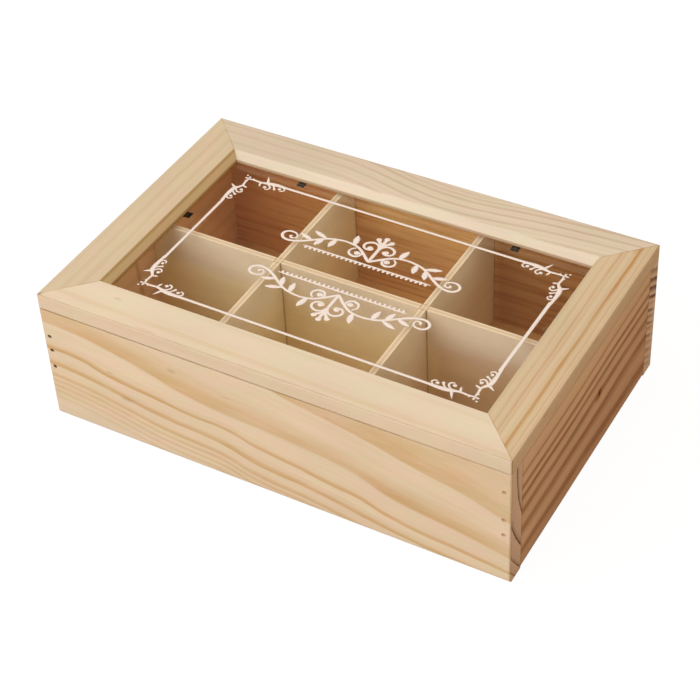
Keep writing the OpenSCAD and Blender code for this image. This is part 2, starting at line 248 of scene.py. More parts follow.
def pine(name, lie, rings, pale, dark, inside=None, ends=(END_PALE, END_DARK), seed=0.0, end=0,
         marks=None):
    """Sawn pine. lie gives (along, across, deep) in mm from the place on the board. rings
    draws the growth rings from those three, the grain's drift and butt, which is 1 on the
    ends. inside is (axis, way, pale, dark) of the inner face, ends are the tones of the end
    grain, end is the axis that the ends face and marks paints what is this board's own."""
    wood = Finish(name)
    x, y, z = wood.parts(wood.place)
    along, across, deep = lie(wood, x, y, z)
    shifted = wood.plus(along, seed)

    def grainy(length, width, detail, rough=0.5):
        return wood.noise(wood.point(wood.over(shifted, length), wood.over(across, width),
                                     wood.over(deep, width)), 1.0, detail, rough)

    wander = grainy(48.0, 15.0, 2.0)
    ragged = grainy(11.0, 0.9, 2.0)
    drift = wood.plus(wood.times(wood.minus(wander, 0.5), 2.4),
                      wood.times(wood.minus(ragged, 0.5), 1.3))
    butt = wood.size(wood.parts(wood.facing)[end])
    butt = wood.span(butt, 0.6, 0.9, smooth=True)
    late = rings(wood, along, across, deep, drift, butt)

    fibre = grainy(26.0, 0.42, 3.0, 0.6)
    cloud = grainy(60.0, 18.0, 2.0)
    blush = grainy(22.0, 8.0, 2.0)
    uneven = grainy(30.0, 5.0, 2.0)
    dash = wood.span(grainy(3.2, 0.36, 1.0), 0.70, 0.80, smooth=True)

    # the inner faces take their own tones: partly the wood's own, partly painted shade of the
    # box's interior
    if inside:
        within = wood.looks(inside[0], inside[1])
        pale = wood.blend(within, pale, inside[2])
        dark = wood.blend(within, dark, inside[3])
    late = wood.times(late, wood.span(uneven, 0.25, 0.6, 0.7, 1.0))
    colour = wood.blend(late, pale, dark)
    # patches that lean pink or yellow
    colour = wood.blend(wood.span(blush, 0.3, 0.7, smooth=True),
                        wood.blend(1.0, colour, (1.02, 0.98, 0.985, 1.0), "MULTIPLY"),
                        wood.blend(1.0, colour, (0.985, 1.01, 0.96, 1.0), "MULTIPLY"))
    tone = wood.span(cloud, 0.3, 0.7, 0.965, 1.03)
    tone = wood.times(tone, wood.span(fibre, 0.25, 0.75, 0.955, 1.035))
    tone = wood.times(tone, wood.minus(1.0, wood.times(dash, 0.12)))
    colour = wood.blend(1.0, colour, wood.point(tone, tone, tone), "MULTIPLY")
    # end grain drinks in the light, and its pores stand open
    pores = wood.noise(wood.place, 1.6, 3.0, 0.6)
    cut = wood.blend(late, ends[0], ends[1])
    cut = wood.blend(1.0, cut, wood.blend(wood.span(pores, 0.35, 0.7), (1.06, 1.05, 1.04, 1.0),
                                          (0.84, 0.80, 0.77, 1.0)), "MULTIPLY")
    colour = wood.blend(butt, colour, cut)
    if marks is not None:
        colour = marks(wood, x, y, z, colour)
    # painted shade along the rounded outer edges, with a little wear
    colour = edge_shade_and_wear(wood, x, y, colour)
    colour = seam_shadow(wood, x, z, colour)
    wood.join(colour, wood.skin.inputs["Base Color"])
    rough = wood.span(wood.plus(late, wood.times(fibre, 0.6)), 0.0, 1.6, 0.78, 0.66)
    wood.join(wood.span(butt, 0.0, 1.0, rough, 0.9), wood.skin.inputs["Roughness"])
    wood.skin.inputs["Specular IOR Level"].default_value = RAW_WOOD_SHINE
    height = wood.plus(wood.times(fibre, 0.6), wood.minus(wood.times(late, 0.5), dash))
    wood.relief(height, 0.10, 0.5)
    return wood


def wild(wood, across, deep, drift, pitch, slant):
    """Evenly grown rings: a slow darkening that ends sharply."""
    grown = wood.plus(wood.plus(across, wood.times(deep, slant)), drift)
    turn = wood.reckon("FRACT", wood.over(wood.plus(grown, 500.0), pitch))
    return wood.steps(turn, 0.0, 1.0, [
        (0.0, 0.0), (0.35, 0.03), (0.8, 0.75), (0.92, 0.95), (1.0, 0.0)])


# ------------------------------------------------------------------ front board

PALE = paint(235, 221, 201)
DARK = paint(211, 177, 126)


def brad_marks(wood, colour, face_y, marks):
    """The wood is bruised and a little rusty round each nail; marks are (x, z, half width,
    half height, share)."""
    for x, z, half_x, half_z, share in marks:
        bruise = wood.spot((x, face_y, z), (half_x, 1.5, half_z), 0.4)
        colour = wood.stain(colour, wood.times(bruise, share), BROWN)
    return colour


def front_rings(wood, along, across, deep, drift, butt):
    """Broad sweeping rings that fall from left to right, drawn by their sharp lower edges.
    The pith lay behind the board, so the same rings curve across its ends."""
    high = wood.guide(along, -120, 120, [
        (-120, 94), (-60, 80), (-30, 72), (0, 65.5), (10, 63), (25, 60), (50, 55),
        (75, 48.8), (100, 43.2), (112, 38.8), (120, 36)], -5, 95)
    broad = wood.guide(along, -120, 120, [
        (-120, 57), (-100, 56), (-85, 53.5), (-75, 51.4), (-60, 47.4), (-50, 44.2), (-40, 42),
        (-20, 39.4), (0, 38.2), (20, 36), (40, 33.2), (50, 30), (60, 25.6), (75, 22.6), (90, 20.6),
        (105, 18), (120, 15)], -5, 95)
    thin = wood.guide(along, -120, 120, [
        (-120, 41.2), (-100, 40.2), (-85, 36), (-60, 33), (-40, 30.4), (-20, 29.4), (-8, 26),
        (0, 24.6), (15, 22.4), (30, 19.4), (45, 17.4), (60, 12.8), (75, 9.8), (90, 8.4),
        (120, 5.2)], -5, 95)
    low = wood.guide(along, -120, 120, [
        (-120, 32), (-105, 31), (-80, 27), (-60, 23), (-50, 22), (-25, 20), (-8, 15),
        (20, 12), (35, 9.4), (50, 6.4), (70, 3.4), (90, 1), (120, -2.5)], -5, 95)
    height = wood.plus(across, wood.times(drift, 0.6))

    def between(under, above, most=1.0):
        """How far up a place lies from one ring to the next, from 0 to most."""
        share = wood.over(wood.minus(height, under), wood.minus(above, under))
        return wood.larger(wood.smaller(share, most), 0.0)

    grown = wood.plus(between(broad, high, 3.0), wood.minus(between(thin, broad), 1.0))
    grown = wood.plus(grown, wood.minus(between(low, thin), 1.0))
    grown = wood.plus(grown, wood.smaller(wood.over(wood.minus(height, low), 10.0), 0.0))
    below = wood.steps(grown, -5.0, -1.3, [
        (-4.3, 0.25), (-4.1, 0.5), (-4.0, 0.2), (-3.72, 0.5), (-3.6, 0.15), (-3.36, 0.55),
        (-3.24, 0.15), (-3.02, 0.6), (-2.94, 0.3), (-2.86, 0.1), (-2.7, 0.7), (-2.6, 0.5),
        (-2.45, 0.1), (-2.08, 0.05), (-1.97, 0.9), (-1.85, 0.7), (-1.62, 0.15), (-1.3, 0.0)])
    above = wood.steps(grown, -1.3, 3.0, [
        (-1.04, 0.0), (-0.97, 0.9), (-0.90, 0.75), (-0.76, 0.15), (-0.5, 0.0),
        (-0.02, 0.0), (0.04, 0.8), (0.16, 0.75), (0.34, 0.35), (0.55, 0.04),
        (0.99, 0.0), (1.03, 0.75), (1.2, 0.7), (1.7, 0.4), (2.6, 0.35)])
    face = wood.plus(below, above)
    # the broad ring is faint in the middle of the board, the high one at its left
    faint = wood.steps(along, -120.0, 120.0, [
        (-120, 0.75), (-70, 0.9), (-30, 0.9), (5, 0.72), (40, 0.75), (60, 1.0), (90, 0.9),
        (120, 0.7)])
    face = wood.times(face, wood.blend(wood.span(grown, -0.3, -0.1), (1.0, 1.0, 1.0, 1.0), faint))
    # fine lines inside the high ring
    fine = wood.span(wood.noise(wood.point(wood.over(along, 90.0),
                                           wood.times(grown, 9.0), 0.0), 1.0, 2.0), 0.45, 0.75)
    face = wood.plus(face, wood.times(fine, 0.16))
    # the ends show rings round a pith that lay behind and above the board
    pith_deep, pith_z = 84.3, 64.0
    back_in = wood.minus(pith_deep, wood.plus(deep, wood.times(drift, 0.45)))
    fall = wood.minus(pith_z, across)
    reach = wood.reckon("SQRT", wood.plus(wood.times(back_in, back_in), wood.times(fall, fall)))
    curved = wood.steps(reach, 70.0, 112.0, [
        (70, 0.1), (77.5, 0.1), (79.0, 0.45), (79.5, 1.0), (79.9, 0.9), (80.2, 0.0), (86.5, 0.12),
        (88.4, 0.45), (88.9, 1.0), (89.3, 0.9), (89.6, 0.0), (95.5, 0.12), (96.8, 0.45),
        (97.4, 1.0), (97.8, 0.0), (101.4, 0.2), (102.2, 0.8), (102.6, 0.0), (106.6, 0.2),
        (107.4, 0.8), (107.8, 0.0)])
    within = wood.larger(butt, wood.span(deep, 1.2, 2.5, smooth=True))
    return wood.blend(within, face, curved)


def front_marks(wood, x, y, z, colour):
    """Nail bruises at both ends, a few short resin streaks and a paler foot at the left."""
    colour = brad_marks(wood, colour, FRONT_Y, [
        (-116.4, 49.0, 1.3, 0.8, 0.5), (-117.2, 40.5, 0.8, 0.9, 0.45),
        (-117.0, 30.5, 0.9, 1.3, 0.3), (116.2, 54.0, 0.5, 1.3, 0.10),
        (116.4, 37.5, 0.9, 1.0, 0.13), (116.4, 28.5, 0.9, 1.1, 0.11)])
    for at_x, at_z, half_x, half_z in (
            (-20, 50.3, 2.4, 0.35), (-48, 55.0, 2.2, 1.1), (-84, 39.5, 1.8, 0.5),
            (33, 60.5, 1.2, 0.3), (-76, 26.0, 3.5, 1.2)):
        streak = wood.spot((at_x, FRONT_Y, at_z), (half_x, 1, half_z))
        colour = wood.stain(colour, wood.times(streak, 0.22), BROWN)
    foot = wood.times(wood.span(x, 0.0, -70.0), wood.span(z, 18.0, 8.0))
    return wood.stain(colour, foot, (1.0, 1.05, 1.14, 1.0))


pine("front board pine", lambda w, x, y, z: (x, z, w.minus(y, FRONT_Y)), front_rings, PALE, DARK,
     inside=(1, 1, paint(246, 222, 184), paint(232, 200, 156)),
     marks=front_marks).wear_on("front_board")


# ------------------------------------------------------- back, left, right board


def back_rings(wood, along, across, deep, drift, butt):
    """Slanting rings in the ends and loose level streaks on the faces."""
    grown = wood.plus(wood.minus(across, wood.times(deep, 0.53)), wood.times(drift, 0.5))
    slanted = wood.steps(grown, 0.0, 66.0, [
        (0, 0.05), (2, 0.4), (3.4, 0.05), (6.4, 0.5), (7.6, 0.05), (11.2, 0.6), (12.4, 0.05),
        (16.4, 0.4), (17.4, 0.05), (20.2, 0.7), (21.4, 0.05), (25.2, 0.5), (26.0, 0.05),
        (28.0, 0.8), (29.2, 0.05), (32.4, 0.6), (33.4, 0.05), (36.0, 0.9), (37.2, 0.05),
        (40.4, 0.4), (41.4, 0.05), (44.0, 1.0), (45.4, 0.1), (49.2, 1.0), (50.8, 0.1), (54.2, 1.0),
        (55.8, 0.1), (60.0, 0.6), (61.4, 0.05)])
    slanted = wood.times(slanted, wood.larger(wood.span(grown, 40.0, 43.0),
                                              wood.span(deep, 3.0, 6.5, 0.45, 1.0)))
    level = wood.point(wood.over(along, 60.0), wood.over(across, 2.6), 3.0)
    level = wood.noise(level, 1.0, 3.0, 0.6)
    return wood.blend(butt, wood.span(level, 0.42, 0.68, smooth=True), slanted)


def back_marks(wood, x, y, z, colour):
    """The inner face has painted shade on the left, darker and redder, and a painted pool of light
    high in the middle; it has dark streaks at the right and painted shadow in the joint gaps where
    the cross dividers are let in."""
    within = wood.looks(1, -1)
    # painted shade: the left of the back wall, darker and redder
    left = wood.times(wood.span(x, -30.0, -60.0, smooth=True), within)
    colour = wood.stain(colour, wood.times(left, 0.8), (0.96, 0.76, 0.60, 1.0))
    # painted light: a paler patch high in the middle of the back wall
    high = wood.times(wood.span(z, 30.0, 52.0, smooth=True),
                      wood.span(x, -50.0, -30.0, smooth=True))
    high = wood.times(high, wood.span(x, 45.0, 38.0, smooth=True))
    colour = wood.stain(colour, wood.times(high, within), (1.12, 1.2, 1.15, 1.0))
    right = wood.times(wood.span(x, 38.0, 45.0, smooth=True), within)
    colour = wood.stain(colour, right, (0.76, 0.67, 0.52, 1.0))
    wavy = wood.plus(z, wood.times(wood.noise(wood.place, 0.03, 1.0), 6.0))
    for height, half in ((42.0, 0.8), (34.0, 1.6), (26.0, 0.7)):
        line = wood.times(wood.thread(wavy, height, half, 1.2), wood.span(x, 20.0, 50.0))
        colour = wood.stain(colour, wood.times(line, wood.times(within, 0.45)),
                            (0.7, 0.56, 0.42, 1.0))
    # painted shadow in the joint gaps beside the cross dividers
    for edge in (JOINT_OFF - CROSS_X, JOINT_OFF + CROSS_X):
        line = wood.times(wood.thread(x, edge, 0.12, 0.28), within)
        colour = wood.stain(colour, wood.times(line, 0.45), BROWN)
    return brad_marks(wood, colour, BACK_Y, [
        (side * 116.5, height, 1.2, 1.2, 0.6)
        for side, heights in ((-1, (30.5, 40.5, 49.0)), (1, (28.5, 37.5, 54.0)))
        for height in heights])


pine("back board pine", lambda w, x, y, z: (x, z, w.minus(BACK_Y, y)), back_rings, PALE, DARK,
     inside=(1, -1, paint(228, 184, 128), paint(204, 148, 90)),
     ends=(paint(224, 198, 172), paint(100, 72, 56)), seed=170.0,
     marks=back_marks).wear_on("back_board")


def left_marks(wood, x, y, z, colour):
    """Pinkish inside, with painted shade towards the back, a painted patch of light low in it, and
    one soft upright streak.
    """
    within = wood.looks(0, 1)
    # painted shade over the back compartment
    back = wood.times(wood.span(y, -2.0, 6.0), within)
    colour = wood.stain(colour, wood.times(back, 0.85), (0.86, 0.72, 0.56, 1.0))
    # painted light: a paler patch low down in the back compartment
    slope = wood.plus(z, wood.times(y, 1.08))
    low = wood.times(wood.span(slope, 84.0, 74.0, smooth=True), back)
    colour = wood.stain(colour, low, (1.16, 1.24, 1.3, 1.0))
    streak = wood.times(wood.thread(wood.minus(y, wood.times(z, -0.08)), -15.5, 0.5, 1.6), within)
    return wood.stain(colour, wood.times(streak, 0.5), (0.62, 0.46, 0.34, 1.0))


def rings_of(pitch, slant, high):
    """Even rings for a board whose outer face is not seen in the picture."""
    def draw(wood, along, across, deep, drift, butt):
        return wood.times(wild(wood, across, deep, drift, pitch, slant),
                          wood.span(butt, 0.0, 1.0, high, 0.9))
    return draw


pine("left board pine", lambda w, x, y, z: (y, z, w.plus(x, BOX_W / 2)),
     rings_of(pitch=9.0, slant=1.5, high=0.45), PALE, DARK,
     inside=(0, 1, paint(242, 206, 168), paint(222, 180, 136)), seed=310.0, end=1,
     marks=left_marks).wear_on("left_board")


def right_board_rings(wood, along, across, deep, drift, butt):
    """Nearly level lines: those high up rise towards the back, the lowest one falls."""
    lift = wood.guide(along, -80, 80, [(-80, 0), (-25, 0), (8, 0.9), (38, 1.7), (80, 2.3)], -1, 3)
    grown = wood.minus(across, wood.times(lift, wood.span(across, 8.0, 22.0, -1.2, 1.0)))
    grown = wood.plus(grown, wood.plus(wood.times(drift, 0.75), wood.times(deep, 0.8)))
    return wood.steps(grown, 0.0, 80.0, [
        (0, 0.2), (6, 0.3), (9.0, 0.85), (11.6, 0.8), (13.4, 0.2), (17.5, 0.15), (20.6, 0.55),
        (23.4, 0.95), (25.2, 0.7), (26.6, 0.2), (31.0, 0.25), (33.4, 0.9), (35.4, 0.85),
        (37.0, 0.2), (40.6, 0.25), (42.6, 1.0), (43.6, 0.9), (45.0, 0.05), (47.0, 0.2),
        (48.2, 1.0), (49.4, 0.85), (51.0, 0.05), (54.4, 0.1), (55.8, 0.7), (56.6, 0.6),
        (57.6, 0.1), (62, 0.0), (80, 0.2)])


def right_marks(wood, x, y, z, colour):
    """One small knot, and the glue lines where the board butts against the long ones."""
    foot = wood.times(wood.span(wood.minus(z, wood.times(y, 0.25)), 32.0, 8.0, smooth=True),
                      wood.looks(0, 1))
    colour = wood.stain(colour, foot, (0.91, 0.85, 0.83, 1.0))
    slit = wood.spot((BOX_W / 2, 11.0, 35.2), (2, 0.9, 2.1), 0.6)
    round_it = wood.spot((BOX_W / 2, 10.6, 35.0), (3, 3.6, 3.0), 0.7)
    tail = wood.spot((BOX_W / 2, 8.4, 33.4), (2, 1.6, 0.8), 0.6)
    colour = wood.stain(colour, wood.times(round_it, 0.6), (0.6, 0.42, 0.28, 1.0))
    colour = wood.stain(colour, wood.times(tail, 0.6), (0.5, 0.34, 0.22, 1.0))
    colour = wood.blend(slit, colour, paint(66, 26, 6))
    for edge in (FRONT_Y + BOARD_T + 0.25, BACK_Y - BOARD_T - 0.25):
        line = wood.times(wood.thread(y, edge, 0.2, 0.35), wood.looks(0, 1))
        colour = wood.stain(colour, wood.times(line, 0.6), (0.6, 0.42, 0.3, 1.0))
    return colour


# the right board's browner tones are partly its own wood and partly painted shade for its side
# away from the lamp
pine("right board pine", lambda w, x, y, z: (y, z, w.minus(BOX_W / 2, x)),
     right_board_rings, paint(214, 181, 148), paint(152, 104, 66),
     inside=(0, -1, paint(246, 222, 184), paint(230, 198, 154)), seed=90.0, end=1,
     marks=right_marks).wear_on("right_board")


# --------------------------------------------------------------------- lid rails


def rail_lie_x(wood, x, y, z):
    return x, wood.minus(y, MID_Y), wood.minus(TOP_Z, z)


def rail_lie_y(wood, x, y, z):
    return y, x, wood.minus(TOP_Z, z)


def mitre_lines(wood, x, y, colour):
    """The glued mitres show as thin, broken brown lines."""
    from_side = wood.minus(BOX_W / 2, wood.size(x))
    from_face = wood.minus(BOX_D / 2, wood.size(wood.minus(y, MID_Y)))
    line = wood.thread(wood.minus(from_side, from_face), 0.0, 0.08, 0.32)
    broken = wood.span(wood.noise(wood.place, 0.16, 2.0), 0.35, 0.65, 0.3, 0.85)
    return wood.stain(colour, wood.times(line, broken), (0.66, 0.5, 0.36, 1.0))


def glass_line(wood, value, edge, colour, share):
    """Dirt and shadow where the bevel meets the glass."""
    return wood.stain(colour, wood.times(wood.thread(value, edge, 0.25, 0.45), share),
                      (0.5, 0.36, 0.24, 1.0))


def lid_front_rings(wood, along, across, deep, drift, butt):
    """Nearly plain: one faint tan band along the outer half."""
    place = wood.plus(across, wood.plus(wood.times(along, 0.022), wood.times(drift, 0.5)))
    place = wood.minus(place, wood.times(deep, 0.8))
    return wood.steps(place, -90.0, -50.0, [
        (-90, 0.2), (-86, 0.1), (-82, 0.2), (-80.5, 0.1), (-78, 0.1), (-76.6, 0.1), (-75.2, 0.32),
        (-74.2, 0.3), (-72.4, 0.08), (-68, 0.03), (-62.5, 0.0), (-60.5, 0.15), (-59, 0.0)])


def lid_front_marks(wood, x, y, z, colour):
    """Two small smudges, a chipped left corner and painted light on the front face."""
    for centre, reach, share in (((-84, -67.6, TOP_Z), (2.2, 0.7, 3), 0.2),
                                 ((-60, -80.2, TOP_Z), (5, 0.8, 2), 0.14),
                                 ((-118.6, -80.0, TOP_Z - 0.6), (1.0, 1.0, 1.2), 0.8)):
        colour = wood.stain(colour, wood.times(wood.spot(centre, reach), share), BROWN)
    # painted light: the front face paler, more so towards the right
    colour = wood.stain(colour, wood.times(wood.looks(1, -1),
                                           wood.span(x, -80.0, 80.0, 0.75, 1.2)),
                        (1.14, 1.13, 1.17, 1.0))
    return mitre_lines(wood, x, y, colour)


def lid_back_rings(wood, along, across, deep, drift, butt):
    """Thin grey lines that sag to the right of the middle and bunch towards the back."""
    sag = wood.guide(along, -120, 120, [
        (-120, 0.4), (-80, 0), (-50, -0.6), (-30, -2.6), (-15, -5.6), (0, -8.4), (15, -9.8),
        (25, -9.8), (40, -8.6), (60, -6.2), (80, -4.2), (100, -2.8), (120, -2)], -12, 2)
    grown = wood.plus(wood.minus(across, sag), wood.times(drift, 0.55))
    grown = wood.minus(grown, wood.times(deep, 0.6))
    lines = wood.steps(grown, 50.0, 92.0, [
        (50, 0.0), (61.4, 0.0), (62.6, 0.6), (63.4, 0.6), (64.2, 0.05), (65.8, 0.05), (66.8, 0.3),
        (67.4, 0.05), (68.6, 0.05), (69.8, 0.75), (70.6, 0.7), (71.4, 0.05), (72.4, 0.35),
        (73.0, 0.05), (74.4, 0.1), (75.4, 0.95), (76.0, 0.8), (76.8, 0.1), (78.2, 0.3),
        (78.8, 0.05), (80.2, 0.9), (81.0, 0.8), (81.8, 0.1), (83.6, 0.75), (84.6, 0.1),
        (86.5, 0.6), (87.5, 0.1), (89.5, 0.5)])
    strong = wood.span(along, -70.0, 0.0, 0.4, 0.85, smooth=True)
    return wood.times(wood.times(lines, strong), wood.span(deep, 0.8, 0.3))


def lid_back_marks(wood, x, y, z, colour):
    """Greyer towards the left, with painted light on the bevel."""
    flat_y, bevel_y = 56.5, 55.9
    grey = wood.times(wood.span(x, 20.0, -70.0), wood.span(y, bevel_y, flat_y))
    colour = wood.stain(colour, grey, (0.91, 0.89, 0.88, 1.0))
    # painted light on the bevel, which faces the lamp
    colour = wood.stain(colour, wood.span(y, flat_y, bevel_y), (1.12, 1.14, 1.16, 1.0))
    colour = glass_line(wood, y, BACK_Y - RAIL_W, colour, 0.8)
    return mitre_lines(wood, x, y, colour)


def lid_left_rings(wood, along, across, deep, drift, butt):
    """Faint lines along the rail."""
    place = wood.plus(across, wood.times(drift, 0.8))
    place = wood.plus(place, wood.times(deep, 0.6))
    return wood.steps(place, -122.0, -90.0, [
        (-122, 0.1), (-118.6, 0.1), (-117.8, 0.3), (-117, 0.1), (-113.2, 0.12), (-112.2, 0.45),
        (-111.2, 0.4), (-110.2, 0.12), (-108, 0.1), (-105.6, 0.35), (-104.8, 0.45), (-104, 0.12),
        (-102, 0.2), (-90, 0.1)])


def lid_left_marks(wood, x, y, z, colour):
    """The bevel lies in shade, dark along both its edges."""
    bevel = wood.span(x, -99.6, -98.8)
    colour = wood.stain(colour, bevel, (1.03, 0.96, 0.77, 1.0))
    arris = wood.times(wood.thread(x, -98.9, 0.3, 0.5), 0.75)
    colour = wood.stain(colour, arris, (0.74, 0.64, 0.5, 1.0))
    colour = glass_line(wood, x, RAIL_W - BOX_W / 2, colour, 0.9)
    return mitre_lines(wood, x, y, colour)


def lid_right_rings(wood, along, across, deep, drift, butt):
    """Straight lines, the strongest one in the outer half."""
    grown = wood.plus(across, wood.times(drift, 0.6))
    grown = wood.plus(grown, wood.times(deep, 0.15))
    return wood.steps(grown, 90.0, 125.0, [
        (92, 0.05), (98.6, 0.06), (99.4, 0.22), (100.2, 0.06), (101.8, 0.1), (102.8, 0.38),
        (103.6, 0.1), (105.4, 0.14), (106.6, 0.58), (107.4, 0.2), (108.6, 0.34), (109.4, 0.05),
        (110.6, 0.08), (111.4, 0.26), (112.2, 0.22), (113.2, 1.0), (113.9, 0.85), (114.6, 0.3),
        (116.0, 0.18), (116.9, 0.48), (117.6, 0.16), (118.6, 0.36), (119.4, 0.16), (121, 0.2)])


def lid_right_marks(wood, x, y, z, colour):
    """A smear near the back corner, worn places on the outer edge and painted shade on the side
    face.
    """
    smear = wood.spot((111.5, 69.4, TOP_Z), (1.6, 3.6, 3), 0.6)
    colour = wood.stain(colour, wood.times(smear, 0.5), (0.9, 0.66, 0.44, 1.0))
    for centre, reach, share in (((119, -49, TOP_Z - 1.2), (2, 3, 0.7), 0.3),
                                 ((120, 3, TOP_Z - 1.2), (2, 4, 0.6), 0.25),
                                 ((120, -39, RIM_Z + 2.5), (2, 4, 0.8), 0.18)):
        colour = wood.stain(colour, wood.times(wood.spot(centre, reach), share),
                            (0.7, 0.4, 0.24, 1.0))
    # painted shade: the side face redder and darker than the top
    colour = wood.stain(colour, wood.looks(0, 1), (1.0, 0.92, 0.89, 1.0))
    return mitre_lines(wood, x, y, colour)


pine("lid front rail pine", rail_lie_x, lid_front_rings, paint(220, 209, 190),
     paint(203, 175, 128), seed=420.0, marks=lid_front_marks).wear_on("lid_front_rail")
pine("lid back rail pine", rail_lie_x, lid_back_rings, paint(218, 208, 191), paint(193, 175, 152),
     seed=530.0, marks=lid_back_marks).wear_on("lid_back_rail")
pine("lid left rail pine", rail_lie_y, lid_left_rings, paint(210, 197, 173), paint(192, 169, 139),
     seed=640.0, end=1, marks=lid_left_marks).wear_on("lid_left_rail")
pine("lid right rail pine", rail_lie_y, lid_right_rings, paint(210, 195, 168), paint(184, 143, 94),
     seed=750.0, end=1, marks=lid_right_marks).wear_on("lid_right_rail")


# ---------------------------------------------------------------------- plywood


def plywood(name, lie, seed, look, low, joints=(), shade_from=None):
    """Pale three-ply: quiet faces that painted shade makes yellower low down, and glue lines that
    show in the edges. joints are the places across the sheet where another one is let in, marked
    with painted shadow in the gaps; past the place given for it along the sheet, more painted
    shade makes the low part of the face browner."""
    ply = Finish(name)
    x, y, z = ply.parts(ply.place)
    along, across, deep = lie(ply, x, y, z)
    shifted = ply.plus(along, seed)
    cloud = ply.noise(ply.point(ply.over(shifted, 60.0), ply.over(across, 9.0),
                                ply.over(deep, 9.0)), detail=3.0)
    fibre = ply.noise(ply.point(ply.over(shifted, 12.0), ply.over(across, 0.35),
                                ply.over(deep, 0.35)), detail=3.0)
    fade = ply.plus(z, ply.times(ply.minus(cloud, 0.5), 24.0))
    # painted shade: the face turns yellower low down, where it lies in shade
    face = ply.blend(ply.span(fade, 54.0, 34.0, smooth=True), look, low)
    face = ply.stain(face, ply.span(cloud, 0.35, 0.7, 0.0, 1.0, smooth=True),
                     (0.95, 0.93, 0.90, 1.0))
    # painted shade: past the given place, the low part of the face turns browner
    if shade_from is not None:
        brown = ply.times(ply.span(along, shade_from, shade_from + 8.0),
                          ply.span(fade, 56.0, 40.0, smooth=True))
        face = ply.stain(face, brown, (0.84, 0.75, 0.79, 1.0))
    half = ply.size(deep)
    edge = ply.blend(ply.span(half, 0.42, 0.5), paint(228, 210, 182), paint(242, 230, 208))
    edge = ply.stain(edge, ply.times(ply.thread(half, 0.5, 0.06, 0.14), 0.7),
                     (0.7, 0.58, 0.44, 1.0))
    colour = ply.blend(ply.span(half, DIVIDER_T / 2 - 0.06, DIVIDER_T / 2 - 0.02), edge, face)
    tone = ply.span(fibre, 0.25, 0.75, 0.96, 1.03)
    colour = ply.blend(1.0, colour, ply.point(tone, tone, tone), "MULTIPLY")
    # painted shadow in the joint gaps where another sheet is let in
    for place in joints:
        colour = ply.stain(colour, ply.times(ply.thread(along, place, 0.1, 0.26), 0.55), BROWN)
    ply.join(colour, ply.skin.inputs["Base Color"])
    ply.join(ply.span(fibre, 0.2, 0.8, 0.72, 0.58), ply.skin.inputs["Roughness"])
    ply.skin.inputs["Specular IOR Level"].default_value = RAW_WOOD_SHINE
    ply.relief(fibre, 0.06, 0.5)
    return ply


plywood("long divider plywood", lambda p, x, y, z: (x, z, p.minus(y, MID_Y)), 15.0,
        paint(250, 240, 220), paint(254, 240, 194),
        joints=[middle + way * JOINT_OFF for way in (1, -1) for middle in (-CROSS_X, CROSS_X)],
        shade_from=40.0).wear_on("long_divider")
for name, x_mid, high_tone, shaded_low_tone in (
        ("left_cross_divider", -CROSS_X, paint(254, 248, 224), paint(254, 244, 208)),
        ("right_cross_divider", CROSS_X, paint(254, 246, 224), paint(254, 242, 218))):
    plywood(name.replace("_", " ") + " plywood",
            lambda p, x, y, z, x_mid=x_mid: (y, z, p.minus(x, x_mid)), x_mid,
            high_tone, shaded_low_tone, joints=(MID_Y - JOINT_OFF, MID_Y + JOINT_OFF)).wear_on(name)
plywood("bottom plywood", lambda p, x, y, z: (x, y, p.minus(z, 2.5)), 70.0,
        paint(236, 194, 134), paint(230, 184, 120)).wear_on("bottom_panel")


# ----------------------------------------------------------------------- metal


def metal(name, bright, dull, rough, worn=0.4):
    """Wire, leaf or pin metal, duller in blotches and with a fine grit in its roughness and bump.
    """
    piece = Finish(name)
    blotch = piece.noise(piece.place, 0.9, 4.0, 0.6)
    grit = piece.noise(piece.place, 7.0, 2.0)
    dulled = piece.span(blotch, 0.5 - worn / 2, 0.5 + worn / 2, smooth=True)
    piece.join(piece.blend(dulled, bright, dull), piece.skin.inputs["Base Color"])
    piece.skin.inputs["Metallic"].default_value = 1.0
    piece.join(piece.span(grit, 0.3, 0.7, rough - 0.08, rough + 0.1),
               piece.skin.inputs["Roughness"])
    piece.relief(grit, 0.02, 0.4)
    return piece


metal("nail steel", paint(150, 142, 132), paint(96, 78, 62), 0.5).wear_on(
    "bottom_brads", "lid_v_nails")


def cover(piece, from_x, colour, share):
    """Right of from_x the metal hides under filler of another colour, and nowhere shines."""
    here = piece.times(piece.span(piece.parts(piece.place)[0], from_x, from_x + 1.0), share)
    bare = piece.skin.inputs["Base Color"].links[0].from_socket
    piece.join(piece.blend(here, bare, colour), piece.skin.inputs["Base Color"])
    piece.skin.inputs["Metallic"].default_value = 0.15
    piece.skin.inputs["Specular IOR Level"].default_value = 0.12
    return piece


cover(metal("rusty steel", paint(112, 84, 60), paint(66, 44, 30), 0.7),
      60.0, paint(212, 172, 132), 0.95).wear_on("corner_brads")
cover(metal("blackened steel", paint(26, 17, 11), paint(12, 8, 6), 0.7),
      80.0, paint(150, 108, 72), 0.9).wear_on("glazing_points")
metal("hinge brass", paint(214, 178, 104), paint(176, 138, 70), 0.34).wear_on(
    "left_hinge_box_leaf", "left_hinge_lid_leaf", "left_hinge_pin",
    "right_hinge_box_leaf", "right_hinge_lid_leaf", "right_hinge_pin")
metal("screw brass", paint(222, 188, 116), paint(168, 130, 64), 0.3).wear_on(
    "hinge_box_screws", "hinge_lid_screws")


# ----------------------------------------------------------------------- glass


